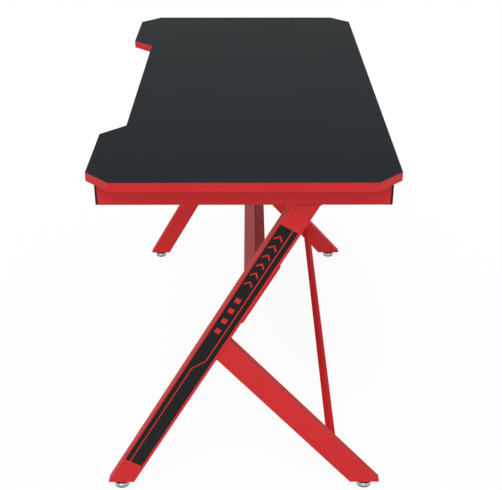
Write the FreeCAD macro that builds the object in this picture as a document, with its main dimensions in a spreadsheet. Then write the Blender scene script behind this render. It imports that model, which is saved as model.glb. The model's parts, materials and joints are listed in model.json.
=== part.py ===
"""Gaming desk with two K-shaped tube legs, a cross beam, a stretcher and levelling feet.

Millimetres and degrees. X runs along the desk, -Y is the side where the user sits, Z is up, and the
origin lies on the floor under the middle of the desk. The right leg is the one at +X.
"""
import FreeCAD, Part
import os
import re
import Sketcher

SIZES = {
    # desktop
    "desk_length": 1200,
    "desk_depth": 600,
    "desk_height": 765,
    "top_thickness": 18,
    "film_thickness": 0.3,
    "band_thickness": 0.5,
    "band_arris": 0.2,
    "corner_cut": 50,
    "cutout_width": 600,
    "cutout_flare": 50,
    "cutout_depth": 50,
    # leg tubes
    "end_overhang": 42,
    "tube_width": 50,
    "tube_depth": 25,
    "tube_wall": 1.5,
    "tube_corner": 2,
    "rail_setback": 21,
    "rail_height": 47,
    "front_toe_reach": 6,
    "front_lean": 60,
    "rear_toe_reach": 0.5,
    "rear_lean": 48.4,
    # end caps of the rails
    "cap_flange": 4.5,
    "cap_edge": 1,
    "cap_plug": 16,
    "cap_wall": 2,
    "plug_clearance": 0.1,
    # cross beam on its seats
    "beam_width": 50,
    "beam_depth": 25,
    "beam_end_gap": 0.5,
    "seat_gap": 53,
    "seat_length": 150,
    "seat_tip": 64,
    "seat_reach": 60,
    "seat_thickness": 2.5,
    "seat_corner": 8,
    "beam_bolt_inset": 16,
    "beam_bolt_spacing": 28,
    "bolt_radius": 3,
    "bolt_length": 14,
    "bolt_head_radius": 6,
    "bolt_head_height": 4,
    "nut_sleeve_radius": 4.5,
    "nut_collar_radius": 6,
    "nut_length": 12,
    # thin stretcher between the rear struts
    "stretcher_size": 15,
    "stretcher_wall": 1.2,
    "stretcher_corner": 1,
    "stretcher_along": 111,
    "spigot_length": 40,
    "spigot_clearance": 0.15,
    "stretcher_screw_inset": 22,
    "stretcher_screw_radius": 2,
    "stretcher_screw_length": 8,
    # screws that hold the desktop
    "desktop_screw_inset": 60,
    "screw_radius": 2.1,
    "screw_length": 14,
    "screw_head_radius": 4,
    "screw_head_height": 2.6,
    "access_hole_radius": 6,
    "hole_clearance": 0.05,
    # levelling feet
    "foot_height": 15,
    "foot_radius": 16.5,
    "cup_lift": 1.2,
    "cup_rim": 10.4,
    "cup_height": 13.6,
    "cup_neck_radius": 10,
    "cup_skirt": 1.3,
    "glide_thickness": 8,
    "glide_floor": 0.8,
    "glide_gap": 0.3,
    "pin_radius": 3,
    "pin_gap": 0.2,
    "stud_radius": 4,
    "stud_rise": 20,
    "stud_chamfer": 1,
    "foot_plate_thickness": 4,
    "bush_radius": 8,
    "bush_height": 18,
    # vinyl strip on the outer face of the front strut
    "decal_thickness": 0.25,
    "decal_start": 49,
    "decal_top_gap": 74,
    "decal_under_margin": 6.6,
    "decal_upper_margin": 3.4,
    "stripe_width": 2.6,
    "stripe_inset": 11.4,
    "stripe_kink_drop": 350,
    "stripe_kink_length": 31.5,
    "square_size": 12,
    "square_pitch": 27.6,
    "square_drop": 273.3,
    "chevron_height": 18,
    "chevron_stroke": 5,
    "chevron_pitch": 23.4,
    "chevron_drop": 152,
}
SQUARE_COUNT = 4
CHEVRON_COUNT = 6
SCREWS_PER_RAIL = 3
BOLTS_PER_SEAT = 2
RIGHT_AND_LEFT = {"right": 1, "left": -1}
LEAST_CUT = 0.01
SAME_PLACE = 1e-6

doc = FreeCAD.newDocument("GamingDesk")
sheet = doc.addObject("Spreadsheet::Sheet", "Sizes")
for row, (alias, number) in enumerate(SIZES.items(), 1):
    sheet.set(f"A{row}", alias)
    sheet.set(f"B{row}", str(number))
    sheet.setAlias(f"B{row}", alias)
doc.recompute()

NODES = []


def expression(formula):
    """Write a formula of named sizes in the form that the document binds to its sheet."""
    return re.sub(r"[a-z_]+", lambda word: ("Sizes." if word[0] in SIZES else "") + word[0], formula)


def value(formula):
    """The present number that a formula of named sizes comes to."""
    return float(sheet.evalExpression(expression(formula)))


def bind(thing, **formulas):
    """Bind properties of a feature to formulas of named sizes."""
    for name, formula in formulas.items():
        thing.setExpression(name, expression(formula))


def new_body(label, x="0", y="0", z="0", turn="0", node=True):
    """A body at a place given by formulas, turned about X. A node is one piece of the desk."""
    body = doc.addObject("PartDesign::Body", label)
    body.Label = label
    turned = FreeCAD.Rotation(FreeCAD.Vector(1, 0, 0), value(turn))
    body.Placement = FreeCAD.Placement(FreeCAD.Vector(), turned)
    for path, formula in (("Base.x", x), ("Base.y", y), ("Base.z", z), ("Rotation.Angle", turn)):
        body.setExpression("Placement." + path, expression(formula))
    if node:
        NODES.append(body)
    return body


def new_sketch(body, plane):
    """An empty sketch on one of the body's own origin planes."""
    sketch = body.newObject("Sketcher::SketchObject", body.Name + "Sketch")
    support = [feature for feature in body.Origin.OriginFeatures if feature.Role == plane]
    sketch.AttachmentSupport = [(support[0], "")]
    sketch.MapMode = "FlatFace"
    return sketch


def hold_point(sketch, geometry, point, formulas):
    """Hold one point of a sketch at a place given by two formulas."""
    for kind, formula in zip(("DistanceX", "DistanceY"), formulas):
        index = sketch.addConstraint(Sketcher.Constraint(kind, -1, 1, geometry, point, value(formula)))
        sketch.setExpression(f"Constraints[{index}]", expression(formula))


def outline(body, plane, *loops):
    """A sketch of closed straight-sided loops, each a list of corners in formulas."""
    sketch = new_sketch(body, plane)
    for corners in loops:
        first = sketch.GeometryCount
        spots = [FreeCAD.Vector(value(across), value(up), 0) for across, up in corners]
        count = len(spots)
        for index, spot in enumerate(spots):
            sketch.addGeometry(Part.LineSegment(spot, spots[(index + 1) % count]))
        for index, corner in enumerate(corners):
            follower = first + (index + 1) % count
            sketch.addConstraint(Sketcher.Constraint("Coincident", first + index, 2, follower, 1))
            hold_point(sketch, first + index, 1, corner)
    return sketch


def circles(body, plane, radius, centres):
    """A sketch of equal circles at centres given in formulas."""
    sketch = new_sketch(body, plane)
    for across, up in centres:
        spot = FreeCAD.Vector(value(across), value(up), 0)
        index = sketch.addGeometry(Part.Circle(spot, FreeCAD.Vector(0, 0, 1), value(radius)))
        hold_point(sketch, index, 3, (across, up))
        size = sketch.addConstraint(Sketcher.Constraint("Radius", index, value(radius)))
        sketch.setExpression(f"Constraints[{size}]", expression(radius))
    return sketch


def rectangle(low, high):
    """The corners of a rectangle between two corners in formulas."""
    return [low, (high[0], low[1]), high, (low[0], high[1])]


def pad(body, sketch, length, middle=False, flip=False):
    """Raise a sketch by a length, to both sides of its plane or to one."""
    feature = body.newObject("PartDesign::Pad", body.Name + "Pad")
    feature.Profile = sketch
    feature.Midplane = middle
    feature.Reversed = flip
    bind(feature, Length=length)
    doc.recompute()
    return feature


def pocket(body, sketch, length, middle=False, flip=False):
    """Cut a sketch into the body and make sure that the cut took something away."""
    before = body.Shape.Volume
    feature = body.newObject("PartDesign::Pocket", body.Name + "Pocket")
    feature.Profile = sketch
    feature.Midplane = middle
    feature.Reversed = flip
    bind(feature, Length=length)
    doc.recompute()
    if body.Shape.Volume > before - LEAST_CUT:
        raise RuntimeError(body.Label + ": a pocket cut nothing")
    return feature


def repeat(body, feature, sketch, axis, pitch, count):
    """Repeat a feature in a row along one axis of its sketch."""
    pattern = body.newObject("PartDesign::LinearPattern", body.Name + "Row")
    pattern.Originals = [feature]
    pattern.Direction = (sketch, [axis])
    pattern.Occurrences = count
    bind(pattern, Length=f"({pitch}) * {count - 1}")
    body.Tip = pattern
    doc.recompute()
    return pattern


def dress_edges(body, kind, size_name, size, wanted):
    """Round or bevel every edge of the body that the test picks."""
    last = body.Tip
    names = [f"Edge{index}" for index, edge in enumerate(last.Shape.Edges, 1) if wanted(edge)]
    feature = body.newObject("PartDesign::" + kind, body.Name + kind)
    feature.Base = (last, names)
    bind(feature, **{size_name: size})
    doc.recompute()


def round_edges(body, radius, wanted):
    """Round the edges that the test picks."""
    dress_edges(body, "Fillet", "Radius", radius, wanted)


def bevel_edges(body, size, wanted):
    """Bevel the edges that the test picks."""
    dress_edges(body, "Chamfer", "Size", size, wanted)


def runs_along(direction):
    """A test for straight edges along a direction."""
    def wanted(edge):
        if edge.Curve.TypeId != "Part::GeomLine":
            return False
        return edge.tangentAt(edge.FirstParameter).cross(direction).Length < SAME_PLACE
    return wanted


def revolve(body, corners):
    """Turn a profile, given as radius and height, about the body's own Z axis."""
    sketch = outline(body, "XZ_Plane", corners)
    feature = body.newObject("PartDesign::Revolution", body.Name + "Turned")
    feature.Profile = sketch
    feature.ReferenceAxis = (sketch, ["V_Axis"])
    feature.Angle = 360
    doc.recompute()
    return feature


def group(label, bodies):
    """Like pieces of hardware as one node of separate solids."""
    compound = doc.addObject("Part::Compound", label)
    compound.Label = label
    compound.Links = bodies
    NODES.append(compound)


# Heights and places that several pieces share, as formulas of the sizes.
UNDERSIDE = "(desk_height - top_thickness)"
RAIL_BOTTOM = f"({UNDERSIDE} - rail_height)"
RAIL_LENGTH = "(desk_depth - 2 * rail_setback)"
LEG_OUTER = "(desk_length / 2 - end_overhang)"
LEG_CENTRE = f"({LEG_OUTER} - tube_depth / 2)"
LEG_INNER = f"({LEG_OUTER} - tube_depth)"
FRONT_RUN = "(tube_width / sin(front_lean))"
REAR_RUN = "(tube_width / sin(rear_lean))"
FRONT_TOE = "(desk_depth / 2 + front_toe_reach)"
REAR_TOE = "(desk_depth / 2 + rear_toe_reach)"
FRONT_FOOT = f"({FRONT_RUN} / 2 - {FRONT_TOE})"
REAR_FOOT = f"({REAR_TOE} - {REAR_RUN} / 2)"
FRONT_UNDER = f"({FRONT_RUN} - {FRONT_TOE})"
STRUTS_CLOSE = "(1 / tan(front_lean) + 1 / tan(rear_lean))"
JOINT_RISE = f"(({REAR_TOE} - {FRONT_UNDER}) / {STRUTS_CLOSE})"
SEAT_ALONG = f"({JOINT_RISE} / sin(front_lean) + seat_gap + seat_length / 2)"
SEAT_Y = f"({FRONT_UNDER} + {SEAT_ALONG} * cos(front_lean))"
SEAT_Z = f"(foot_height + {SEAT_ALONG} * sin(front_lean))"
FRONT_TURN = "(front_lean - 90)"
REAR_TURN = "(90 - rear_lean)"
STRETCHER_Y = f"({REAR_FOOT} - stretcher_along * cos(rear_lean))"
STRETCHER_Z = "(foot_height + stretcher_along * sin(rear_lean))"
GLIDE_RADIUS = "(foot_radius - cup_skirt - glide_gap)"
DECAL_TOP = f"(({RAIL_BOTTOM} - foot_height) / sin(front_lean) - decal_top_gap)"
DECAL_UPPER = "(tube_width - decal_upper_margin)"
STRIPE_NEAR = "(decal_under_margin + stripe_inset)"
STRIPE_FAR = f"({DECAL_UPPER} - stripe_inset)"
MOTIF_LINE = f"(({STRIPE_NEAR} + stripe_width / 2 + {DECAL_UPPER}) / 2)"


# Desktop
def desktop_outline(inset):
    """Corners of the desktop, counter-clockwise, moved inwards by a formula."""
    end = f"(desk_length / 2 - ({inset}))"
    side = f"(desk_depth / 2 - ({inset}))"
    cut = f"(corner_cut - ({inset}) * (2 - sqrt(2)))"
    lean = f"(({inset}) * tan(atan(cutout_depth / cutout_flare) / 2))"
    inner = f"(cutout_width / 2 + {lean})"
    mouth = f"({inner} + cutout_flare)"
    return [
        (f"-{end} + {cut}", f"-{side}"),
        (f"-{mouth}", f"-{side}"),
        (f"-{inner}", f"-{side} + cutout_depth"),
        (inner, f"-{side} + cutout_depth"),
        (mouth, f"-{side}"),
        (f"{end} - {cut}", f"-{side}"),
        (end, f"-{side} + {cut}"),
        (end, f"{side} - {cut}"),
        (f"{end} - {cut}", side),
        (f"-{end} + {cut}", side),
        (f"-{end}", f"{side} - {cut}"),
        (f"-{end}", f"-{side} + {cut}"),
    ]


def screw_spots(side=None):
    """Centres of the desktop screws over one rail in its own frame, or over both in the desk's."""
    reach = f"({RAIL_LENGTH} / 2 - desktop_screw_inset)"
    rows = [f"{reach} * {2 * step / (SCREWS_PER_RAIL - 1) - 1}" for step in range(SCREWS_PER_RAIL)]
    if side is None:
        return [(f"{sign} * {LEG_CENTRE}", row) for sign in RIGHT_AND_LEFT.values() for row in rows]
    return [("0", row) for row in rows]


def build_desktop():
    """The core, its two films and the band round its edge."""
    core = "(top_thickness - 2 * film_thickness)"
    board = new_body("desktop_board", z=f"{UNDERSIDE} + film_thickness")
    pad(board, outline(board, "XY_Plane", desktop_outline("band_thickness")), core)
    pilot = circles(board, "XY_Plane", "screw_radius + hole_clearance", screw_spots())
    pilot_depth = "screw_length - tube_wall - film_thickness + screw_radius"
    pocket(board, pilot, pilot_depth, flip=True)
    top_film = new_body("desktop_top_film", z="desk_height - film_thickness")
    pad(top_film, outline(top_film, "XY_Plane", desktop_outline("band_thickness")), "film_thickness")
    under_film = new_body("desktop_under_film", z=UNDERSIDE)
    pad(under_film, outline(under_film, "XY_Plane", desktop_outline("band_thickness")), "film_thickness")
    through = circles(under_film, "XY_Plane", "screw_radius + hole_clearance", screw_spots())
    pocket(under_film, through, "film_thickness", flip=True)
    band = new_body("desktop_edge_band", z=UNDERSIDE)
    pad(band, outline(band, "XY_Plane", desktop_outline("0")), "top_thickness")
    upright = runs_along(FreeCAD.Vector(0, 0, 1))
    round_edges(band, "band_arris", lambda edge: not upright(edge))
    pocket(band, outline(band, "XY_Plane", desktop_outline("band_thickness")), "top_thickness", flip=True)


# Tubes
def tube(body, plane, outer, inner, depth, wall, corner):
    """A rectangular tube: its side view, raised by its depth, with rounded corners and a hollow.

    The second side of the outline is one of the long edges.
    """
    pad(body, outline(body, plane, outer), depth, middle=True)
    start, end = (FreeCAD.Vector(value(across), value(up), 0) for across, up in outer[1:3])
    along = body.Group[0].Placement.Rotation.multVec((end - start).normalize())
    round_edges(body, corner, runs_along(along))
    pocket(body, outline(body, plane, inner), f"({depth}) - 2 * ({wall})", middle=True)


def straight_tube(body, plane, length, width, depth, wall, corner):
    """A tube with square ends, centred on the body's origin."""
    half, side = f"({length}) / 2", f"({width}) / 2"
    corners = rectangle((f"-{half}", f"-{side}"), (half, side))
    bore = f"({side} - ({wall}))"
    inner = rectangle((f"-{half}", f"-{bore}"), (half, bore))
    tube(body, plane, corners[-1:] + corners[:-1], inner, depth, wall, corner)


def leaning(toe, lean, rise, sign):
    """How far a leaning edge that starts at a toe has moved at a height, and the height itself."""
    return (f"{sign} * (({toe}) - ({rise}) / tan({lean}))", f"foot_height + ({rise})")


def build_rail(side, sign):
    """Top rail with screw holes in its upper wall and larger holes below them for the driver."""
    rail = new_body(f"{side}_top_rail", x=f"{sign} * {LEG_CENTRE}", z=f"{UNDERSIDE} - rail_height / 2")
    straight_tube(rail, "YZ_Plane", RAIL_LENGTH, "rail_height", "tube_depth", "tube_wall", "tube_corner")
    screw_holes = circles(rail, "XY_Plane", "screw_radius + hole_clearance", screw_spots(side))
    pocket(rail, screw_holes, "rail_height", flip=True)
    pocket(rail, circles(rail, "XY_Plane", "access_hole_radius", screw_spots(side)), "rail_height")


def build_front_strut(side, sign):
    """Long strut, cut level at the foot and under the rail."""
    rise = f"({RAIL_BOTTOM} - foot_height)"
    strut = new_body(f"{side}_front_strut", x=f"{sign} * {LEG_CENTRE}")
    under = f"({FRONT_TOE} - {FRONT_RUN})"
    outer = [leaning(FRONT_TOE, "front_lean", "0", -1), leaning(under, "front_lean", "0", -1),
             leaning(under, "front_lean", rise, -1), leaning(FRONT_TOE, "front_lean", rise, -1)]
    skin = "(tube_wall / sin(front_lean))"
    low, high = f"{FRONT_TOE} - {skin}", f"{under} + {skin}"
    inner = [leaning(low, "front_lean", "0", -1), leaning(high, "front_lean", "0", -1),
             leaning(high, "front_lean", rise, -1), leaning(low, "front_lean", rise, -1)]
    tube(strut, "YZ_Plane", outer, inner, "tube_depth", "tube_wall", "tube_corner")


def build_rear_strut(side, sign):
    """Short strut, cut level at the foot and mitred against the under face of the front strut."""
    strut = new_body(f"{side}_rear_strut", x=f"{sign} * {LEG_CENTRE}")
    under = f"({REAR_TOE} - {REAR_RUN})"
    lower_rise = f"(({under} - {FRONT_UNDER}) / {STRUTS_CLOSE})"
    outer = [leaning(REAR_TOE, "rear_lean", "0", 1), leaning(under, "rear_lean", "0", 1),
             leaning(under, "rear_lean", lower_rise, 1), leaning(REAR_TOE, "rear_lean", JOINT_RISE, 1)]
    skin = "(tube_wall / sin(rear_lean))"
    low, high = f"{REAR_TOE} - {skin}", f"{under} + {skin}"
    inner = [leaning(low, "rear_lean", "0", 1), leaning(high, "rear_lean", "0", 1),
             leaning(high, "rear_lean", JOINT_RISE, 1), leaning(low, "rear_lean", JOINT_RISE, 1)]
    tube(strut, "YZ_Plane", outer, inner, "tube_depth", "tube_wall", "tube_corner")


def cap_corners(inset):
    """The section of a rail, moved inwards by a formula."""
    across, up = f"(tube_depth / 2 - ({inset}))", f"(rail_height / 2 - ({inset}))"
    return rectangle((f"-{across}", f"-{up}"), (across, up))


def build_rail_cap(side, sign, end, end_sign):
    """Plastic cap: a flange with a bevelled edge and a hollow plug that goes into the rail."""
    cap = new_body(f"{side}_{end}_rail_cap", x=f"{sign} * {LEG_CENTRE}",
                   y=f"{end_sign} * {RAIL_LENGTH} / 2", z=f"{UNDERSIDE} - rail_height / 2")
    outwards = end_sign > 0
    pad(cap, outline(cap, "XZ_Plane", cap_corners("0")), "cap_flange", flip=outwards)
    length = FreeCAD.Vector(0, 1, 0)
    round_edges(cap, "tube_corner", runs_along(length))
    face = value("cap_flange") * end_sign
    bevel_edges(cap, "cap_edge", lambda edge: abs(edge.CenterOfMass.y - face) < SAME_PLACE)
    gap = "tube_wall + plug_clearance"
    pad(cap, outline(cap, "XZ_Plane", cap_corners(gap)), "cap_plug", flip=not outwards)
    hollow = outline(cap, "XZ_Plane", cap_corners(f"{gap} + cap_wall"))
    pocket(cap, hollow, "cap_plug", flip=outwards)


# Cross members
def bolt_spots(sign):
    """Places of the beam bolts of one seat, along X from the middle of the desk."""
    first = f"({LEG_INNER} - beam_bolt_inset)"
    return [f"{sign} * ({first} - beam_bolt_spacing * {step})" for step in range(BOLTS_PER_SEAT)]


def build_beam():
    """Cross beam, turned with the front struts, with holes for the rivet nuts in its under face."""
    beam = new_body("main_beam", y=f"{SEAT_Y} - beam_depth / 2 * sin(front_lean)",
                    z=f"{SEAT_Z} + beam_depth / 2 * cos(front_lean)", turn=FRONT_TURN)
    length = f"2 * ({LEG_INNER} - beam_end_gap)"
    straight_tube(beam, "XZ_Plane", length, "beam_width", "beam_depth", "tube_wall", "tube_corner")
    spots = [(spot, "0") for sign in RIGHT_AND_LEFT.values() for spot in bolt_spots(sign)]
    pocket(beam, circles(beam, "XZ_Plane", "nut_sleeve_radius + hole_clearance", spots), "beam_depth")


def build_beam_seat(side, sign):
    """Plate under the front strut that narrows inwards below the beam, with its bolt holes."""
    seat = new_body(f"{side}_beam_seat", y=SEAT_Y, z=SEAT_Z, turn=FRONT_TURN)
    outer, root = f"{sign} * {LEG_OUTER}", f"{sign} * {LEG_INNER}"
    tip = f"{sign} * ({LEG_INNER} - seat_reach)"
    half, tip_half = "seat_length / 2", "seat_tip / 2"
    plate = [(outer, f"-{half}"), (outer, half), (root, half), (tip, tip_half), (tip, f"-{tip_half}"),
             (root, f"-{half}")]
    pad(seat, outline(seat, "XZ_Plane", plate), "seat_thickness", flip=True)
    tip_x = value(tip)
    runs_down = runs_along(FreeCAD.Vector(0, 1, 0))
    round_edges(seat, "seat_corner",
                lambda edge: runs_down(edge) and abs(edge.CenterOfMass.x - tip_x) < SAME_PLACE)
    spots = [(spot, "0") for spot in bolt_spots(sign)]
    pocket(seat, circles(seat, "XZ_Plane", "bolt_radius + hole_clearance", spots), "seat_thickness")


def headed_shank(head_radius, head_height, radius, length):
    """Profile of a bolt or screw: a round head below its seat and a plain shank above it."""
    return [("0", f"-{head_height}"), (head_radius, f"-{head_height}"), (head_radius, "0"), (radius, "0"),
            (radius, length), ("0", length)]


def build_beam_hardware():
    """Bolts from below the seats and the rivet nuts in the beam that take them."""
    bolts, nuts = [], []
    for sign in RIGHT_AND_LEFT.values():
        for spot in bolt_spots(sign):
            bolt = new_body("beam_bolt", x=spot, y=f"{SEAT_Y} + seat_thickness * sin(front_lean)",
                            z=f"{SEAT_Z} - seat_thickness * cos(front_lean)", turn="front_lean",
                            node=False)
            revolve(bolt, headed_shank("bolt_head_radius", "bolt_head_height", "bolt_radius", "bolt_length"))
            bolts.append(bolt)
            nut = new_body("beam_rivet_nut", x=spot, y=SEAT_Y, z=SEAT_Z, turn="front_lean", node=False)
            bore = "bolt_radius + hole_clearance"
            revolve(nut, [
                (bore, "0"), ("nut_sleeve_radius", "0"), ("nut_sleeve_radius", "tube_wall"),
                ("nut_collar_radius", "tube_wall"), ("nut_collar_radius", "nut_length"),
                (bore, "nut_length")])
            nuts.append(nut)
    group("beam_bolts", bolts)
    group("beam_rivet_nuts", nuts)


def stretcher_spot(sign):
    """Place along X of the screw at one end of the stretcher."""
    return f"{sign} * ({LEG_INNER} - stretcher_screw_inset)"


def build_stretcher():
    """Thin square tube between the rear struts, with a screw hole in its under face at each end."""
    stretcher = new_body("rear_stretcher", y=STRETCHER_Y, z=STRETCHER_Z, turn=REAR_TURN)
    length = f"2 * ({LEG_INNER} - beam_end_gap)"
    straight_tube(stretcher, "XZ_Plane", length, "stretcher_size", "stretcher_size", "stretcher_wall",
                  "stretcher_corner")
    spots = [(stretcher_spot(sign), "0") for sign in RIGHT_AND_LEFT.values()]
    hole = circles(stretcher, "XZ_Plane", "stretcher_screw_radius + hole_clearance", spots)
    pocket(stretcher, hole, "stretcher_size", flip=True)


def build_stretcher_ends():
    """Stubs on the rear struts that go into the stretcher, and the screws that hold it on them."""
    half = "(stretcher_size / 2 - stretcher_wall - spigot_clearance)"
    screws = []
    for side, sign in RIGHT_AND_LEFT.items():
        spigot = new_body(f"{side}_stretcher_spigot", y=STRETCHER_Y, z=STRETCHER_Z, turn=REAR_TURN)
        inner_end, root = f"{sign} * ({LEG_INNER} - spigot_length)", f"{sign} * {LEG_INNER}"
        corners = rectangle((inner_end, f"-{half}"), (root, half))
        pad(spigot, outline(spigot, "XZ_Plane", corners), f"2 * {half}", middle=True)
        spot = [(stretcher_spot(sign), "0")]
        hole = circles(spigot, "XZ_Plane", "stretcher_screw_radius + hole_clearance", spot)
        pocket(spigot, hole, "stretcher_size", middle=True)
        screw = new_body("stretcher_screw", x=stretcher_spot(sign), turn="-rear_lean", node=False,
                         y=f"{STRETCHER_Y} - stretcher_size / 2 * sin(rear_lean)",
                         z=f"{STRETCHER_Z} - stretcher_size / 2 * cos(rear_lean)")
        revolve(screw, headed_shank("screw_head_radius", "screw_head_height", "stretcher_screw_radius",
                                    "stretcher_screw_length"))
        screws.append(screw)
    group("stretcher_screws", screws)


def build_desktop_screws():
    """Screws whose heads bear on the upper wall of the rails, inside the tube."""
    screws = []
    for across, along in screw_spots():
        screw = new_body("desktop_screw", x=across, y=along, z=f"{UNDERSIDE} - tube_wall", node=False)
        revolve(screw, headed_shank("screw_head_radius", "screw_head_height", "screw_radius", "screw_length"))
        screws.append(screw)
    group("desktop_screws", screws)


# Levelling feet
def build_bush(side, sign, end, toe, lean, run, end_sign):
    """Plate welded into the leaning tube end, level with it, and the upright bush on it for the stud."""
    bush = new_body(f"{side}_{end}_foot_bush", x=f"{sign} * {LEG_CENTRE}")
    skin = f"(tube_wall / sin({lean}))"
    low, high = f"{toe} - {skin}", f"{toe} - {run} + {skin}"
    thick = "foot_plate_thickness"
    corners = [leaning(low, lean, "0", end_sign), leaning(high, lean, "0", end_sign),
               leaning(high, lean, thick, end_sign), leaning(low, lean, thick, end_sign)]
    pad(bush, outline(bush, "YZ_Plane", corners), "tube_depth - 2 * tube_wall", middle=True)
    centre = ("0", f"{end_sign} * ({toe} - {run} / 2)")
    barrel = circles(bush, "XY_Plane", "bush_radius", [centre])
    barrel.setExpression("AttachmentOffset.Base.z", expression("foot_height"))
    pad(bush, barrel, "bush_height")
    bore = circles(bush, "XY_Plane", "stud_radius + hole_clearance", [centre])
    pocket(bush, bore, "foot_height + bush_height", flip=True)


def build_foot(side, sign, end, place):
    """Glide on the floor, cup over it, and the stud that turns in the bush."""
    spot = {"x": f"{sign} * {LEG_CENTRE}", "y": place}
    glide = new_body(f"{side}_{end}_foot_glide", **spot)
    bearing = "pin_radius + hole_clearance"
    revolve(glide, [
        ("0", "0"), (f"{GLIDE_RADIUS} - glide_floor", "0"), (GLIDE_RADIUS, "glide_floor"),
        (GLIDE_RADIUS, "glide_thickness"), (bearing, "glide_thickness"), (bearing, "glide_floor"),
        ("0", "glide_floor")])
    cup = new_body(f"{side}_{end}_foot_cup", **spot)
    recess, shoulder = "foot_radius - cup_skirt", "glide_thickness + glide_gap"
    bore = "stud_radius + hole_clearance"
    revolve(cup, [
        (recess, "cup_lift"), ("foot_radius", "cup_lift"), ("foot_radius", "cup_lift + cup_rim"),
        ("cup_neck_radius", "cup_height"), (bore, "cup_height"), (bore, shoulder), (recess, shoulder)])
    stud = new_body(f"{side}_{end}_foot_stud", **spot)
    top = "foot_height + stud_rise"
    revolve(stud, [
        ("0", "glide_floor + pin_gap"), ("pin_radius", "glide_floor + pin_gap"), ("pin_radius", shoulder),
        ("stud_radius", shoulder), ("stud_radius", f"{top} - stud_chamfer"),
        ("stud_radius - stud_chamfer", top), ("0", top)])


# Vinyl strip
def stripe_corners():
    """The pinstripe as a kinked band: across the strip from the under edge, and up along the strut."""
    turn = f"atan(({STRIPE_FAR} - {STRIPE_NEAR}) / stripe_kink_length)"
    shift = f"(stripe_width / 2 * tan({turn} / 2))"
    below, above = "decal_start - stripe_width", f"{DECAL_TOP} + stripe_width"
    kink_top = f"({DECAL_TOP} - stripe_kink_drop)"
    kink_end = f"({kink_top} - stripe_kink_length)"
    sides = []
    for part, bend in (("- stripe_width / 2", "-"), ("+ stripe_width / 2", "+")):
        low, high = f"-({STRIPE_FAR} {part})", f"-({STRIPE_NEAR} {part})"
        sides.append([(low, below), (low, f"{kink_end} {bend} {shift}"),
                      (high, f"{kink_top} {bend} {shift}"), (high, above)])
    under_side, upper_side = sides
    return under_side + upper_side[::-1]


def build_decal(side, sign):
    """Black strip with the pinstripe, a row of squares and a row of chevrons left open in it."""
    decal = new_body(f"{side}_strut_decal", x=f"{sign} * {LEG_OUTER}", y=FRONT_UNDER, z="foot_height",
                     turn=FRONT_TURN)
    decal.AllowCompound = True
    outwards = sign < 0
    strip = rectangle((f"-{DECAL_UPPER}", "decal_start"), ("-decal_under_margin", DECAL_TOP))
    pad(decal, outline(decal, "YZ_Plane", strip), "decal_thickness", flip=outwards)
    inwards = {"length": "decal_thickness", "flip": not outwards}
    half, centre = "square_size / 2", f"({DECAL_TOP} - square_drop)"
    corner = (f"-({MOTIF_LINE} + {half})", f"{centre} - {half}")
    opposite = (f"-({MOTIF_LINE} - {half})", f"{centre} + {half}")
    square = outline(decal, "YZ_Plane", rectangle(corner, opposite))
    repeat(decal, pocket(decal, square, **inwards), square, "V_Axis", "square_pitch", SQUARE_COUNT)
    arm, foot = "chevron_height / 2", f"({DECAL_TOP} - chevron_drop)"
    low, high = f"-({MOTIF_LINE} + {arm})", f"-({MOTIF_LINE} - {arm})"
    chevron = outline(decal, "YZ_Plane", [
        (low, foot), (f"-{MOTIF_LINE}", f"{foot} + {arm}"), (high, foot),
        (high, f"{foot} + chevron_stroke"), (f"-{MOTIF_LINE}", f"{foot} + {arm} + chevron_stroke"),
        (low, f"{foot} + chevron_stroke")])
    repeat(decal, pocket(decal, chevron, **inwards), chevron, "V_Axis", "chevron_pitch", CHEVRON_COUNT)
    pocket(decal, outline(decal, "YZ_Plane", stripe_corners()), **inwards)


def build_leg(side, sign):
    """One K-shaped leg with its caps, plate, feet and decal."""
    build_rail(side, sign)
    build_front_strut(side, sign)
    build_rear_strut(side, sign)
    build_beam_seat(side, sign)
    build_decal(side, sign)
    build_rail_cap(side, sign, "front", -1)
    build_rail_cap(side, sign, "rear", 1)
    build_bush(side, sign, "front", FRONT_TOE, "front_lean", FRONT_RUN, -1)
    build_bush(side, sign, "rear", REAR_TOE, "rear_lean", REAR_RUN, 1)
    build_foot(side, sign, "front", FRONT_FOOT)
    build_foot(side, sign, "rear", REAR_FOOT)


def write_nodes():
    """Check every feature and every piece, then write one file for each piece."""
    doc.recompute()
    for thing in doc.Objects:
        if {"Invalid", "Error"} & set(thing.State):
            raise RuntimeError(f"{thing.Label}: {thing.State}")
    for node in NODES:
        if node.Shape.isNull() or not node.Shape.isValid() or not node.Shape.Solids:
            raise RuntimeError(node.Label + ": no valid solid")
    os.makedirs("parts", exist_ok=True)
    for node in NODES:
        node.Shape.exportStep(f"parts/{node.Label}.step")
        print(f"{node.Label}: {len(node.Shape.Solids)} solids, {node.Shape.Volume / 1000:.1f} cm3")


build_desktop()
for leg_side, leg_sign in RIGHT_AND_LEFT.items():
    build_leg(leg_side, leg_sign)
build_beam()
build_beam_hardware()
build_stretcher()
build_stretcher_ends()
build_desktop_screws()
write_nodes()
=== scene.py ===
# %% [markdown]
# # A gaming desk in the studio
# The desk has a black top with cut corners and a red edge, two K-shaped legs of red tube, a beam and
# a thin stretcher between them, and four feet that screw in and out. The solids of the frame give the
# main sizes and the places. This lesson dresses them: it gives each surface a finish made of nodes,
# adds the small pieces that are too fine for the solids, and sets up the light and the camera.

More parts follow.
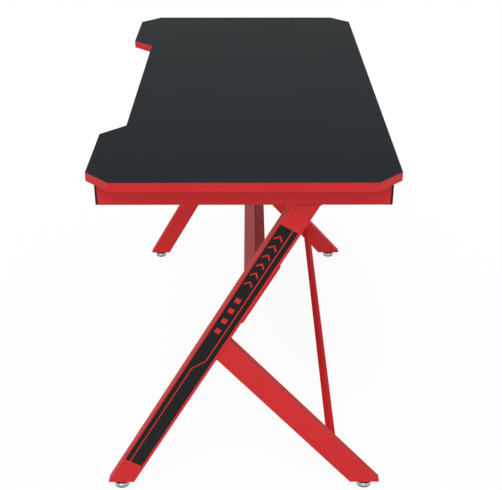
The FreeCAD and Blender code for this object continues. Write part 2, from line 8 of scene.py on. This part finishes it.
# %% Load the frame
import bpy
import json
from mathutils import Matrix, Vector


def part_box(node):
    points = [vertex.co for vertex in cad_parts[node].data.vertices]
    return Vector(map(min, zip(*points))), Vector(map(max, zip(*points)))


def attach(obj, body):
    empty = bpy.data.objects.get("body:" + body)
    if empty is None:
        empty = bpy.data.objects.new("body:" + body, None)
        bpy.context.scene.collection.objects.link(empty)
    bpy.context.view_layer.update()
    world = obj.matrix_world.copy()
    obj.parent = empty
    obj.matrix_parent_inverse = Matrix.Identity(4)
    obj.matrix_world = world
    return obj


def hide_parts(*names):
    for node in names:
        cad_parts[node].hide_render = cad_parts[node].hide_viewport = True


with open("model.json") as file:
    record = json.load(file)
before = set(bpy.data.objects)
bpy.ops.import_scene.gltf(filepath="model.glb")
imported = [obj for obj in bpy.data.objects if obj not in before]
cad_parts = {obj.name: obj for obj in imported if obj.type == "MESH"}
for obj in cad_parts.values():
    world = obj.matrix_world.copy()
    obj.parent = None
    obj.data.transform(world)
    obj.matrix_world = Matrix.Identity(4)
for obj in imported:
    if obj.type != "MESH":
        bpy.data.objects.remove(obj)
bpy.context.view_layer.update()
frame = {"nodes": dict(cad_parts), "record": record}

# %% [markdown]
# ## Tools for the finishes
# A finish is a small network of nodes. Drawing it by hand is good for trying things out, but sums of
# several nodes soon become hard to read. Here a class wraps one output of a node, so that a sum such
# as 1 - mask adds the Math nodes by itself, and one method adds every other kind of node. Each finish
# then goes into a table, under the name of the material slot that the solids give.

# %% Node helpers
import json
import math
import random

import bmesh
import bpy
from mathutils import Color, Matrix, Vector

MM = 0.001


class Value:
    """One output of a node, for sums."""

    def __init__(self, nodes, socket):
        self.nodes = nodes
        self.socket = socket

    def __add__(self, other):
        return self.nodes.math("ADD", self, other)

    def __radd__(self, other):
        return self.nodes.math("ADD", other, self)

    def __rsub__(self, other):
        return self.nodes.math("SUBTRACT", other, self)

    def __rmul__(self, other):
        return self.nodes.math("MULTIPLY", other, self)


class Nodes:
    """The nodes of one material or of the world."""

    def __init__(self, tree):
        self.tree = tree

    def add(self, kind, settings=None, sockets=None, output=0):
        """A node with its settings first, then the values or links of its sockets."""
        node = self.tree.nodes.new(kind)
        for name, setting in (settings or {}).items():
            setattr(node, name, setting)
        for name, content in (sockets or {}).items():
            self.fill(self.pick(node.inputs, name), content)
        return Value(self, self.pick(node.outputs, output))

    def math(self, operation, first, second):
        return self.add("ShaderNodeMath", {"operation": operation}, {0: first, 1: second})

    def pick(self, sockets, name):
        """A socket by its number, or by its identifier or name."""
        if isinstance(name, int):
            return sockets[name]
        return next(one for one in sockets if name in (one.identifier, one.name))

    def fill(self, socket, content):
        if isinstance(content, Value):
            self.tree.links.new(content.socket, socket)
        else:
            socket.default_value = content


class Finish(Nodes):
    """A material whose patterns lie in the desk's own space, in metres."""

    def __init__(self, name):
        self.material = bpy.data.materials.new(name)
        self.material.use_nodes = True
        super().__init__(self.material.node_tree)
        self.place = self.add("ShaderNodeTexCoord", output="Object")

    def noise(self, grain, detail=2, place=None):
        """Soft noise from 0 to 1 with features of about one grain."""
        return self.add("ShaderNodeTexNoise", {}, {
            "Vector": place or self.place, "Scale": 1 / grain, "Detail": detail})

    def cells(self, grain, output="Distance"):
        """Distance from the middle of cells of about one grain, or another output of the cells."""
        return self.add("ShaderNodeTexVoronoi", {}, {"Vector": self.place, "Scale": 1 / grain}, output)

    def between(self, share, low, high):
        """A share turned into 0 below one value and 1 above another, with a smooth step."""
        return self.add("ShaderNodeMapRange", {"interpolation_type": "SMOOTHSTEP"},
                        {"Value": share, "From Min": low, "From Max": high})

    def blend(self, share, first, second):
        """One colour turning into another."""
        return self.add("ShaderNodeMix", {"data_type": "RGBA"},
                        {"Factor_Float": share, "A_Color": first, "B_Color": second}, "Result_Color")

    def bump(self, height, depth):
        """A normal from a height of 0 to 1 over a depth."""
        return self.add("ShaderNodeBump", {}, {"Height": height, "Distance": depth})

    def surface(self, sockets):
        """Set or link the sockets of the surface shader, and hand over the material."""
        shader = self.tree.nodes["Principled BSDF"]
        for name, content in sockets.items():
            self.fill(shader.inputs[name], content)
        print("finish", self.material.name, "of", len(self.tree.nodes), "nodes")
        return self.material


def colour(red, green, blue):
    """A colour as it shows on a screen, 0 to 255, as the linear numbers of a shader."""
    return [*Color((red / 255, green / 255, blue / 255)).from_srgb_to_scene_linear(), 1]


FINISHES = {}

# %% [markdown]
# ## Red powder coat
# The tubes are sprayed with powder and baked. The coat melts into a satin skin that is never quite
# flat: it has the faint dimples of orange peel, about two millimetres wide, and a few specks of dust
# under it. A bump gives both. The tone and the gloss wander a little along the tubes, as they do where
# the spray was thicker. The thin stretcher has a coat of its own, a deeper red that mirrors almost
# nothing. Its red is also written brighter than the legs' red as painted light, to make up for the
# shade under the desk. So one function makes both coats, and a second table keeps the finish of a solid
# that has one of its own.

# %% Red powder coat
def powder_coat(name, thin, thick, mirror):
    finish = Finish(name)
    peel = finish.noise(1.8 * MM)
    drift = finish.noise(140 * MM)
    speck = 1 - finish.between(finish.cells(34 * MM), 0.006, 0.016)
    tone = finish.blend(drift, thin, thick)
    return finish.surface({
        "Base Color": tone, "Roughness": 0.36 + 0.08 * drift + 0.05 * peel,
        "Specular IOR Level": mirror, "Normal": finish.bump(peel + 0.8 * speck, 0.05 * MM)})


FINISHES["red_paint"] = powder_coat(
    "satin_red_coat", thin=colour(201, 47, 49), thick=colour(207, 52, 54), mirror=0.045)
# Painted light: the stretcher's red is brighter than the legs' red to offset the shade it sits in.
OWN_FINISHES = {"rear_stretcher": powder_coat(
    "flat_red_coat", thin=colour(211, 37, 41), thick=colour(217, 41, 45), mirror=0.008)}

# %% [markdown]
# ## Red edge band
# The band is a strip of plastic, drawn through a die and glued round the board. The die leaves fine
# lines along the strip, so the noise here is squeezed in height and stretched along the edge. A Mapping
# node does that without a change to the mesh. The band's upper rim, the part of it that faces up, gets
# a painted shade in near black, and the normal picks it out.

# %% Red edge band
def edge_band():
    finish = Finish("red_edge_band")
    along = finish.add("ShaderNodeMapping", {}, {"Vector": finish.place, "Scale": (1, 1, 60)})
    lines = finish.noise(30 * MM, 3, along)
    drift = finish.noise(90 * MM)
    red = finish.blend(drift, colour(196, 34, 38), colour(202, 39, 43))
    # Painted shade: the upward-facing rim of the band is mixed to near black.
    normal = finish.add("ShaderNodeNewGeometry", output="True Normal")
    upwards = finish.add("ShaderNodeSeparateXYZ", {}, {"Vector": normal}, "Z")
    tone = finish.blend(finish.between(upwards, 0.5, 0.8), red, colour(23, 28, 31))
    return finish.surface({
        "Base Color": tone, "Roughness": 0.34 + 0.12 * lines, "Specular IOR Level": 0.2,
        "Normal": finish.bump(lines, 0.03 * MM)})


FINISHES["red_edge_band"] = edge_band()

# %% [markdown]
# ## Black film
# The working face is a plastic film, pressed with a very fine pebble grain so that a mouse glides and
# no lamp glares in it. Small cells make the pebbles. Hands polish some places more than others, which
# is a slow and faint drift in the roughness. The shader's own reflection is kept weak, because a matte
# film mirrors little even at a flat angle.

# %% Black film
def black_film():
    finish = Finish("black_film")
    pebble = finish.cells(0.7 * MM)
    cloud = finish.noise(160 * MM, 3)
    tone = finish.blend(finish.noise(2.5 * MM), colour(20, 25, 28), colour(26, 31, 34))
    return finish.surface({
        "Base Color": tone, "Roughness": 0.58 + 0.04 * cloud, "Specular IOR Level": 0.05,
        "Normal": finish.bump(pebble, 0.06 * MM)})


FINISHES["black_film"] = black_film()

# %% [markdown]
# ## Black vinyl and moulded plastic
# The strip on the strut is cut from a satin vinyl sheet that shows a trace of the coat below it. The
# caps of the rails are moulded in a tool with a spark-eroded skin, a fine even grain that breaks up the
# light. The discs in the feet are a softer plastic, scuffed by the floor.

# %% Black plastics
def black_vinyl():
    finish = Finish("black_vinyl")
    wave = finish.noise(2.2 * MM)
    drift = finish.noise(60 * MM)
    tone = finish.blend(drift, colour(16, 17, 17), colour(21, 22, 22))
    return finish.surface({
        "Base Color": tone, "Roughness": 0.38 + 0.12 * drift, "Specular IOR Level": 0.15,
        "Normal": finish.bump(wave, 0.03 * MM)})


def moulded_black():
    finish = Finish("moulded_black")
    grain = finish.noise(0.5 * MM, 4)
    tone = finish.blend(finish.noise(12 * MM), colour(15, 16, 16), colour(21, 22, 22))
    return finish.surface({
        "Base Color": tone, "Roughness": 0.42 + 0.2 * grain, "Specular IOR Level": 0.15,
        "Normal": finish.bump(grain, 0.05 * MM)})


def scuffed_nylon():
    finish = Finish("scuffed_nylon")
    scuff_and_shade = finish.between(finish.noise(3 * MM, 5), 0.5, 0.7)
    tone = finish.blend(scuff_and_shade, colour(52, 53, 54), colour(92, 92, 90))
    return finish.surface({"Base Color": tone, "Roughness": 0.5 + 0.2 * scuff_and_shade})


FINISHES["black_vinyl"] = black_vinyl()
FINISHES["black_plastic"] = moulded_black()
FINISHES["nylon"] = scuffed_nylon()

# %% [markdown]
# ## Metals
# The cups are pressed steel with a bright plating, rougher along the lower rim, where a painted shade
# also darkens it. The studs are zinc plated, duller and a little blue, with patches that the bath left.
# The bolts are blackened and oiled. In all three a high Metallic does most of the work, and the
# roughness tells them apart.

# %% Metals
def bright_plating():
    finish = Finish("bright_plating")
    haze = finish.noise(4 * MM, 3)
    height = finish.add("ShaderNodeSeparateXYZ", {}, {"Vector": finish.place}, "Z")
    # Painted shade: the plating turns dark grey towards the lower rim, and it is rougher there too.
    scuff_and_shade = 1 - finish.between(height + 1.5 * MM * haze, 4 * MM, 7.5 * MM)
    bright = finish.blend(haze, colour(160, 168, 168), colour(182, 189, 188))
    tone = finish.blend(scuff_and_shade, bright, colour(84, 88, 92))
    return finish.surface({
        "Base Color": tone, "Metallic": 1.0, "Roughness": 0.12 + 0.1 * haze + 0.12 * scuff_and_shade})


def zinc_plating():
    finish = Finish("zinc_plating")
    patch = finish.noise(3 * MM, 4)
    tone = finish.blend(patch, colour(176, 184, 196), colour(206, 205, 196))
    return finish.surface({
        "Base Color": tone, "Metallic": 1.0, "Roughness": 0.24 + 0.2 * patch,
        "Normal": finish.bump(finish.noise(0.6 * MM), 0.02 * MM)})


def blackened_steel():
    finish = Finish("blackened_steel")
    oil = finish.noise(5 * MM, 3)
    tone = finish.blend(oil, colour(38, 39, 43), colour(58, 57, 56))
    return finish.surface({"Base Color": tone, "Metallic": 0.8, "Roughness": 0.3 + 0.22 * oil})


FINISHES["chrome"] = bright_plating()
FINISHES["zinc_steel"] = zinc_plating()
FINISHES["black_steel"] = blackened_steel()

# %% [markdown]
# ## Board
# The core only shows in the screw holes. It is pressed from wood chips, so each cell takes its own
# brown, and a finer noise adds the glue and dust between them.

# %% Board
def chip_board():
    finish = Finish("chip_board")
    chip = finish.add("ShaderNodeSeparateColor", {}, {"Color": finish.cells(4 * MM, "Color")})
    dust = finish.noise(0.8 * MM, 4)
    tone = finish.blend(0.6 * chip + 0.4 * dust, colour(150, 112, 70), colour(208, 176, 128))
    return finish.surface({"Base Color": tone, "Roughness": 0.8, "Normal": finish.bump(dust, 0.3 * MM)})


FINISHES["board_core"] = chip_board()

# %% [markdown]
# ## Dress the solids
# Each solid names a material slot in its record. They could be dressed one by one, but with the table
# of finishes one loop dresses them all, and the pieces that are added later take theirs from the same
# table.

# %% Dress the solids
for subpart in frame["record"]["subparts"]:
    node, slot = subpart["node"], subpart["material_slot"]
    mesh = frame["nodes"][node].data
    mesh.materials.clear()
    mesh.materials.append(OWN_FINISHES.get(node, FINISHES[slot]))

# %% [markdown]
# ## Turning small round pieces
# The feet are round, so each piece of them starts as a chain of points, half of its section, and spin
# sweeps the chain once round the axis. A last step merges the seam, turns the faces outwards and hands
# the piece to the body that it moves with.

# %% Turning helpers
AROUND = 48
SHARP_EDGE = math.radians(35)
SAME_POINT = 1e-6


def add_chain(bm, section, closed=False):
    """Points of (radius, height) as a chain of edges beside the Z axis."""
    chain = [bm.verts.new((radius, 0, height)) for radius, height in section]
    follow = chain[1:] + chain[:1] if closed else chain[1:]
    return chain, [bm.edges.new(pair) for pair in zip(chain, follow)]


def spin_round(bm, geometry):
    """Sweep a chain once round the Z axis."""
    bmesh.ops.spin(bm, geom=geometry, cent=(0, 0, 0), axis=(0, 0, 1), angle=math.tau, steps=AROUND,
                   use_merge=True)


def add_piece(name, bm, slot, body, *nodes):
    """Turn a bmesh into a piece that rides on a body and stands for nodes."""
    bmesh.ops.remove_doubles(bm, verts=bm.verts, dist=SAME_POINT)
    bmesh.ops.recalc_face_normals(bm, faces=bm.faces)
    mesh = bpy.data.meshes.new(name)
    bm.to_mesh(mesh)
    bm.free()
    mesh.shade_smooth()
    mesh.set_sharp_from_angle(angle=SHARP_EDGE)
    mesh.materials.append(FINISHES[slot])
    piece = bpy.data.objects.new(name, mesh)
    bpy.context.scene.collection.objects.link(piece)
    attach(piece, body)
    if nodes:
        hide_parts(*nodes)
    return piece


def foot_centre(corner):
    """The upright axis of a foot, at the floor."""
    low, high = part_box(f"{corner}_foot_glide")
    return Vector(((low.x + high.x) / 2, (low.y + high.y) / 2, 0))


CORNERS = [f"{side}_{end}" for side in ("right", "left") for end in ("front", "rear")]
print("feet at", [[round(n, 3) for n in foot_centre(corner)[:2]] for corner in CORNERS])

# %% [markdown]
# ## Cups of the feet
# Each foot is a plastic disc under a steel cup: an upright wall, a rounded shoulder and a low cone up
# to the stud. A stack of cylinders would show steps, so three corners of the section, which a table
# gives by their number, are rounded before the spin.

# %% Cups
CUP_SKIRT = 1.3 * MM
CUP_WALL_HEIGHT = 10.4 * MM
CUP_NECK = 10 * MM
CUP_BORE = 4.05 * MM
CUP_CEILING = 8.3 * MM
CUP_ROUNDINGS = {1: 1 * MM, 2: 1.2 * MM, 3: 1.2 * MM}


def cup_section(corner):
    """Half of a cup's section, from the inside of its lower rim round to its ceiling."""
    low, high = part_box(f"{corner}_foot_cup")
    rim = (high.x - low.x) / 2
    inside = rim - CUP_SKIRT
    return [(inside, low.z), (rim, low.z), (rim, low.z + CUP_WALL_HEIGHT), (CUP_NECK, high.z),
            (CUP_BORE, high.z), (CUP_BORE, CUP_CEILING), (inside, CUP_CEILING)]


for corner in CORNERS:
    bm = bmesh.new()
    chain, _ = add_chain(bm, cup_section(corner), closed=True)
    for number, radius in CUP_ROUNDINGS.items():
        bmesh.ops.bevel(bm, geom=[chain[number]], offset=radius, segments=6, profile=0.5,
                        affect="VERTICES", material=-1)
    spin_round(bm, [*bm.verts, *bm.edges])
    bmesh.ops.translate(bm, verts=bm.verts, vec=foot_centre(corner))
    add_piece(f"{corner}_bright_cup", bm, "chrome", f"{corner}_foot_screw", f"{corner}_foot_cup")
print("turned", len(CORNERS), "cups")

# %% [markdown]
# ## Threaded studs
# The stud is an M8 screw: a ridge that climbs 1.25 millimetres each turn. It could be faked with
# rings, but rings do not climb, and the thread shows when the foot is screwed out. Spin takes a step
# along the axis as it turns, so one ridge section becomes the whole thread. Two cuts trim the ends.
# The plain pin below it, which the disc turns on, is spun in the usual way.

# %% Studs
STUD_RADIUS = 4 * MM
PIN_RADIUS = 3 * MM
PITCH = 1.25 * MM
THREAD_DEPTH = 0.7 * MM
STEPS_PER_TURN = 20


def cut_thread(bm, radius, low, high):
    """A thread between two heights. Its ridge is given as radii and shares of the pitch."""
    turns = math.ceil((high - low) / PITCH) + 2
    root, start = radius - THREAD_DEPTH, low - PITCH
    ridge = [(root, 0), (root, 0.2), (radius, 0.55), (radius, 0.68), (root, 1)]
    chain, edges = add_chain(bm, [(across, start + share * PITCH) for across, share in ridge])
    bmesh.ops.spin(bm, geom=chain + edges, cent=(0, 0, 0), axis=(0, 0, 1), angle=math.tau * turns,
                   steps=STEPS_PER_TURN * turns, dvec=(0, 0, PITCH / STEPS_PER_TURN))
    bmesh.ops.remove_doubles(bm, verts=bm.verts, dist=SAME_POINT)
    for height, up in ((low, 1), (high, -1)):
        bmesh.ops.bisect_plane(bm, geom=[*bm.verts, *bm.edges, *bm.faces], plane_co=(0, 0, height),
                               plane_no=(0, 0, up), clear_inner=True)
    bmesh.ops.holes_fill(bm, edges=[edge for edge in bm.edges if edge.is_boundary])


for corner in CORNERS:
    low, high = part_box(f"{corner}_foot_stud")
    cup_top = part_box(f"{corner}_foot_cup")[1].z
    bm = bmesh.new()
    cut_thread(bm, STUD_RADIUS, cup_top, high.z)
    pin = [(0, low.z), (PIN_RADIUS, low.z), (PIN_RADIUS, cup_top), (0, cup_top)]
    chain, edges = add_chain(bm, pin)
    spin_round(bm, chain + edges)
    bmesh.ops.translate(bm, verts=bm.verts, vec=foot_centre(corner))
    add_piece(f"{corner}_threaded_stud", bm, "zinc_steel", f"{corner}_foot_screw",
              f"{corner}_foot_stud")
print("cut", len(CORNERS), "threads of", round(PITCH / MM, 2), "mm pitch")

# %% [markdown]
# ## Weld beads
# The tubes of a leg are welded before they are coated, and the coat follows the bead: a row of small
# ripples, one for each pulse of the torch. A bump on a smooth roll would look flat from the side, so
# the bead is real. It starts as a circle, extruded step by step along the joint, and every second ring
# is drawn in. Seeded random numbers make the ripples uneven in the same way each run.

# %% Weld beads
BEAD_RADIUS = 2.1 * MM
BEAD_STEP = 0.65 * MM
BEAD_SIDES = 10
BEAD_END = 0.5
BEAD_DIP = 0.84
BEAD_SCATTER = 0.05
uneven = random.Random(7)


def lay_bead(bm, start, end):
    """A bead from one point to another, with its ends and dips as shares of its radius."""
    run = end - start
    count = 2 * round(run.length / (2 * BEAD_STEP))
    turned = run.to_track_quat("Z", "Y").to_matrix().to_4x4()
    size = BEAD_END * BEAD_RADIUS
    ring = bmesh.ops.create_circle(bm, cap_ends=True, segments=BEAD_SIDES, radius=size,
                                   matrix=Matrix.Translation(start) @ turned)["verts"]
    edges = list(ring[0].link_faces[0].edges)
    for step in range(1, count + 1):
        grown = bmesh.ops.extrude_edge_only(bm, edges=edges)["geom"]
        verts = [part for part in grown if isinstance(part, bmesh.types.BMVert)]
        edges = [part for part in grown if isinstance(part, bmesh.types.BMEdge)]
        bmesh.ops.translate(bm, verts=verts, vec=run / count)
        ripple = uneven.uniform(1 - BEAD_SCATTER, 1 + BEAD_SCATTER)
        wanted = BEAD_RADIUS * (1 if step % 2 else BEAD_DIP) * ripple
        if step == count:
            wanted = BEAD_END * BEAD_RADIUS
        bmesh.ops.scale(bm, verts=verts, vec=[wanted / size] * 3,
                        space=Matrix.Translation(-start - run * step / count))
        size = wanted
    bmesh.ops.holes_fill(bm, edges=edges)


# %% [markdown]
# A leg has six short beads across its tubes: where the front strut meets the rail, where the rear
# strut meets the front one, and at the two ends of the seat plate. Two longer ones hold the plate along
# the strut, and stop short of the beam. Every place follows from the boxes of the solids and from the
# lean of the front strut.

# %% Weld the legs
FRONT_LEAN = math.radians(60)
TUBE_WIDTH = 50 * MM
STRUT_RUN = TUBE_WIDTH / math.sin(FRONT_LEAN)
BEAM_ROOM = 28 * MM
WELD_INSET = 1.2 * MM


def weld_leg(side):
    strut, rear, seat = (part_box(f"{side}_{name}")
                         for name in ("front_strut", "rear_strut", "beam_seat"))
    top = strut[1]

    def under_face(height):
        """The point of the front strut's under face at a height."""
        return Vector((0, top.y - (top.z - height) / math.tan(FRONT_LEAN), height))

    rear_foot = top.z - (top.y - rear[0].y) * math.tan(FRONT_LEAN)
    seat_foot = top.z - (top.y - seat[0].y) * math.tan(FRONT_LEAN)
    across = [under_face(height) for height in (top.z, rear[1].z, rear_foot, seat[1].z, seat_foot)]
    across.append(under_face(top.z) - Vector((0, STRUT_RUN, 0)))
    outer, inner = (strut[1].x, strut[0].x) if side == "right" else (strut[0].x, strut[1].x)
    inset = math.copysign(WELD_INSET, outer)
    bm = bmesh.new()
    for spot in across:
        lay_bead(bm, spot + Vector((inner + inset, 0, 0)), spot + Vector((outer - inset, 0, 0)))
    edge = Vector((inner, 0, 0))
    low, high = under_face(seat_foot) + edge, under_face(seat[1].z) + edge
    middle, along = (low + high) / 2, (high - low).normalized()
    lay_bead(bm, low, middle - along * BEAM_ROOM)
    lay_bead(bm, middle + along * BEAM_ROOM, high)
    return add_piece(f"{side}_weld_beads", bm, "red_paint", "frame")


for side in ("right", "left"):
    print(weld_leg(side).name)

# %% [markdown]
# ## Bolts and screws
# Two button-head bolts hold each end of the beam from below, with a hexagon socket for the key. A
# small screw with a cross recess holds each end of the stretcher. A recess could be cut out with a
# boolean, but that leaves long thin faces. Here the head grows from its recess: the outline of the
# recess is raised, its edges are divided, and each further ring is pushed out to a circle, over the
# crown and down the shank.

# %% Screw helpers
RING = 24
RECESS_TURN = math.radians(15)
HEXAGON_SOCKET = [2.3 * MM] * 6
CROSS_RECESS = [2.1 * MM, 0.75 * MM, 2.1 * MM] * 4


def grow_screw(bm, place, recess, depth, rings):
    """A screw whose recess opens at the height of the first ring. Rings are (radius, height)."""
    first = len(bm.verts)
    rim_height = rings[0][1]
    floor_of_recess = Matrix.Translation((0, 0, rim_height - depth))
    turned = Matrix.Rotation(RECESS_TURN, 4, "Z")
    base = bmesh.ops.create_circle(bm, cap_ends=True, segments=len(recess), radius=1,
                                   matrix=floor_of_recess @ turned)["verts"]
    for vert, reach in zip(base, recess):
        vert.co.xy *= reach
    grown = bmesh.ops.extrude_edge_only(bm, edges=list(base[0].link_faces[0].edges))["geom"]
    bmesh.ops.translate(bm, verts=[part for part in grown if isinstance(part, bmesh.types.BMVert)],
                        vec=(0, 0, depth))
    bmesh.ops.subdivide_edges(bm, edges=[edge for edge in bm.edges if edge.is_boundary],
                              cuts=RING // len(recess) - 1, use_single_edge=True)
    for radius, height in rings:
        rim = [edge for edge in bm.edges if edge.is_boundary]
        for part in bmesh.ops.extrude_edge_only(bm, edges=rim)["geom"]:
            if isinstance(part, bmesh.types.BMVert):
                part.co.xy = part.co.xy.normalized() * radius
                part.co.z = height
    bmesh.ops.holes_fill(bm, edges=[edge for edge in bm.edges if edge.is_boundary])
    bm.verts.ensure_lookup_table()
    bmesh.ops.transform(bm, verts=bm.verts[first:], matrix=place)


def facing(spot, outwards):
    """The place of a screw whose head points outwards."""
    return Matrix.Translation(spot) @ outwards.to_track_quat("Z", "Y").to_matrix().to_4x4()


# %% [markdown]
# The places come from the solids again. The bolts stand close to the middle of the seat plates, square
# to them, and the screws in the middle of the stretcher's lower face.

# %% Bolts and screws
REAR_LEAN = math.radians(48.4)
BOLTS_ACROSS = (-517 * MM, -489 * MM, 489 * MM, 517 * MM)
BOLT_MIDDLE_TO_SEAT = 5 * MM
SOCKET_DEPTH = 2.2 * MM
SCREWS_ACROSS = (-511 * MM, 511 * MM)
STRETCHER_HALF = 7.5 * MM
RECESS_DEPTH = 1.4 * MM
BOLT_RINGS = [(2.9 * MM, 4 * MM), (4.2 * MM, 3.9 * MM), (5.1 * MM, 3.4 * MM), (5.7 * MM, 2.5 * MM),
              (6 * MM, 1.3 * MM), (6 * MM, 0), (3 * MM, 0), (3 * MM, -14 * MM)]
SCREW_RINGS = [(2.6 * MM, 2.6 * MM), (3.3 * MM, 2.2 * MM), (3.8 * MM, 1.4 * MM), (4 * MM, 0.6 * MM),
               (4 * MM, 0), (2 * MM, 0), (2 * MM, -8 * MM)]

bm = bmesh.new()
down = Vector((0, math.sin(FRONT_LEAN), -math.cos(FRONT_LEAN)))
bolt_low, bolt_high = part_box("beam_bolts")
bolt_middle = (bolt_low + bolt_high) / 2
head_seat = bolt_middle + down * BOLT_MIDDLE_TO_SEAT
for across in BOLTS_ACROSS:
    place = facing(head_seat + Vector((across, 0, 0)), down)
    grow_screw(bm, place, HEXAGON_SOCKET, SOCKET_DEPTH, BOLT_RINGS)
add_piece("beam_socket_bolts", bm, "black_steel", "frame", "beam_bolts")

bm = bmesh.new()
below = -Vector((0, math.sin(REAR_LEAN), math.cos(REAR_LEAN)))
bar_low, bar_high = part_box("rear_stretcher")
screw_seat = (bar_low + bar_high) / 2 + below * STRETCHER_HALF
for across in SCREWS_ACROSS:
    place = facing(screw_seat + Vector((across, 0, 0)), below)
    grow_screw(bm, place, CROSS_RECESS, RECESS_DEPTH, SCREW_RINGS)
add_piece("stretcher_cross_screws", bm, "black_steel", "frame", "stretcher_screws")
print("bolt heads at", [round(part, 3) for part in head_seat])
print("stretcher screws at", [round(part, 3) for part in screw_seat])

# %% [markdown]
# ## Floor
# A product picture is taken in a white room. A floor of pure light would be simple, but the desk would
# float on it. Here the floor is a wide sheet that shows white to the camera and in reflections, and a
# share of it stays plain paper, so the desk keeps a soft shadow. The sheet throws back less light than
# white paper does, which keeps the underside of the desk dark.

# %% Floor
FLOOR_SIZE = 12
FLOOR_GLOW = 0.92
WHITE_PAPER = colour(255, 255, 255)
BOUNCED_LIGHT = colour(186, 186, 186)


def seen_directly(nodes):
    """1 where the camera, a mirror or a clear surface looks, 0 for the light that a surface gathers."""
    camera, mirror, clear = (nodes.add("ShaderNodeLightPath", output=f"Is {ray} Ray")
                             for ray in ("Camera", "Glossy", "Transmission"))
    return nodes.math("MAXIMUM", nodes.math("MAXIMUM", camera, mirror), clear)


paper = Finish("floor_paper")
bounce = paper.add("ShaderNodeLightPath", output="Is Diffuse Ray")
paper.surface({
    "Base Color": paper.blend(bounce, WHITE_PAPER, BOUNCED_LIGHT), "Roughness": 0.9,
    "Specular IOR Level": 0.0})
glow = paper.add("ShaderNodeEmission", {}, {"Color": (1, 1, 1, 1), "Strength": 1.0})
sheet = Value(paper, paper.tree.nodes["Principled BSDF"].outputs[0])
seen = paper.add("ShaderNodeMixShader", {}, {0: FLOOR_GLOW * seen_directly(paper), 1: sheet, 2: glow})
paper.fill(paper.tree.nodes["Material Output"].inputs["Surface"], seen)

bm = bmesh.new()
bmesh.ops.create_grid(bm, x_segments=1, y_segments=1, size=FLOOR_SIZE)
floor_mesh = bpy.data.meshes.new("floor")
bm.to_mesh(floor_mesh)
bm.free()
floor_mesh.materials.append(paper.material)
floor = bpy.data.objects.new("floor", floor_mesh)
bpy.context.scene.collection.objects.link(floor)
print("floor of", 2 * FLOOR_SIZE, "m")

# %% [markdown]
# ## Light
# The room is the world's even light, which alone would show every side of a tube in one tone. Two broad
# lamps stand on the camera's side: the high one lights the top and leaves the rail in the shade of the
# overhang, and the low one reaches under the desk to the far leg.

# %% Light
ROOM_LIGHT = 0.66
LAMP_SPREAD = math.radians(30)
LAMPS = [("high_lamp", 1.0, (-0.5, 0.1, -0.85)), ("low_lamp", 0.92, (-1, -0.05, -0.2))]

world = bpy.data.worlds.new("white_room")
world.use_nodes = True
room = Nodes(world.node_tree)
background = world.node_tree.nodes["Background"]
background.inputs["Color"].default_value = (1, 1, 1, 1)
room.fill(background.inputs["Strength"], ROOM_LIGHT + (1 - ROOM_LIGHT) * seen_directly(room))
bpy.context.scene.world = world

for name, energy, travel in LAMPS:
    lamp_data = bpy.data.lights.new(name, "SUN")
    lamp_data.energy = energy
    lamp_data.angle = LAMP_SPREAD
    lamp = bpy.data.objects.new(name, lamp_data)
    lamp.rotation_euler = Vector(travel).to_track_quat("-Z", "Y").to_euler()
    bpy.context.scene.collection.objects.link(lamp)
    print(name, energy)
print("room light", ROOM_LIGHT)

# %% [markdown]
# ## Camera
# The picture looks down on one end of the desk. A lens guessed by eye would make the far leg too large
# or too small, so the camera's place, its direction in radians and its focal length in pixels were
# fitted to the edges of the desk in the photograph. The width of the picture turns the pixels into
# millimetres of lens.

# %% Camera
IMAGE_WIDTH = 502
FOCAL_PIXELS = 955.44
SENSOR_WIDTH = 36
CAMERA_PLACE = (2.20746, 0.00916, 1.47895)
LOOK_DOWN, LOOK_ASIDE = 0.48282, 0.0023825

camera_data = bpy.data.cameras.new("camera")
camera_data.sensor_width = SENSOR_WIDTH
camera_data.lens = FOCAL_PIXELS * SENSOR_WIDTH / IMAGE_WIDTH
camera = bpy.data.objects.new("camera", camera_data)
camera.location = CAMERA_PLACE
view = Vector((-math.cos(LOOK_DOWN) * math.cos(LOOK_ASIDE),
               math.cos(LOOK_DOWN) * math.sin(LOOK_ASIDE), -math.sin(LOOK_DOWN)))
camera.rotation_euler = view.to_track_quat("-Z", "Y").to_euler()
bpy.context.scene.collection.objects.link(camera)
bpy.context.scene.camera = camera
bpy.context.scene.view_settings.view_transform = "Standard"
print("lens", round(camera_data.lens, 2), "mm")
